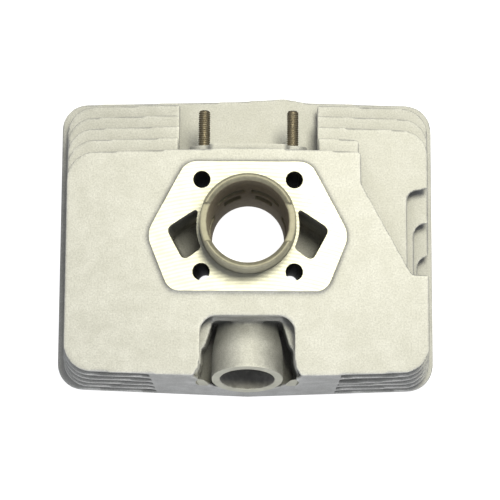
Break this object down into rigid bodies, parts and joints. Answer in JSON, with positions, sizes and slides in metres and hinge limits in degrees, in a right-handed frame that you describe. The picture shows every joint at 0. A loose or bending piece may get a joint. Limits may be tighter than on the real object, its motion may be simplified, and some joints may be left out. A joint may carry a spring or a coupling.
{
  "type": "two-stroke engine cylinder barrel",
  "caption": "Air-cooled two-stroke cylinder barrel with rectangular fins, liner spigot, transfer ports, studded intake flange and angled exhaust stub",
  "frame": {"origin": "centre of the cylinder bore at the head gasket face", "axes": "+Z along the bore towards the crankcase, +Y towards the intake side, +X to the right of the bore seen from the crankcase with the intake side up"},
  "size_m": [0.1944, 0.1566, 0.088],
  "materials": {
    "cast_aluminium": "bead-blasted sand-cast aluminium, matt, pale warm grey",
    "machined_aluminium": "face-milled aluminium, fine satin",
    "liner_iron": "turned liner rim with a pale straw tint, honed dark grey bore",
    "stud_steel": "rolled thread, dull brownish steel"
  },
  "bodies": {
    "root": {"cylinder_liner": "liner_iron", "exhaust_boss": "cast_aluminium", "intake_boss_left": "cast_aluminium", "intake_boss_right": "cast_aluminium", "transfer_wall_left": "cast_aluminium", "transfer_wall_right": "cast_aluminium", "base_flange": "machined_aluminium", "fin_1": "cast_aluminium", "fin_2": "cast_aluminium", "fin_3": "cast_aluminium", "fin_4": "cast_aluminium", "fin_5": "cast_aluminium", "head_flange": "cast_aluminium", "intake_flange": "cast_aluminium", "intake_stud_left": "stud_steel", "intake_stud_right": "stud_steel", "exhaust_stub": "cast_aluminium", "exhaust_skin": "cast_aluminium"}
  },
  "joints": []
}
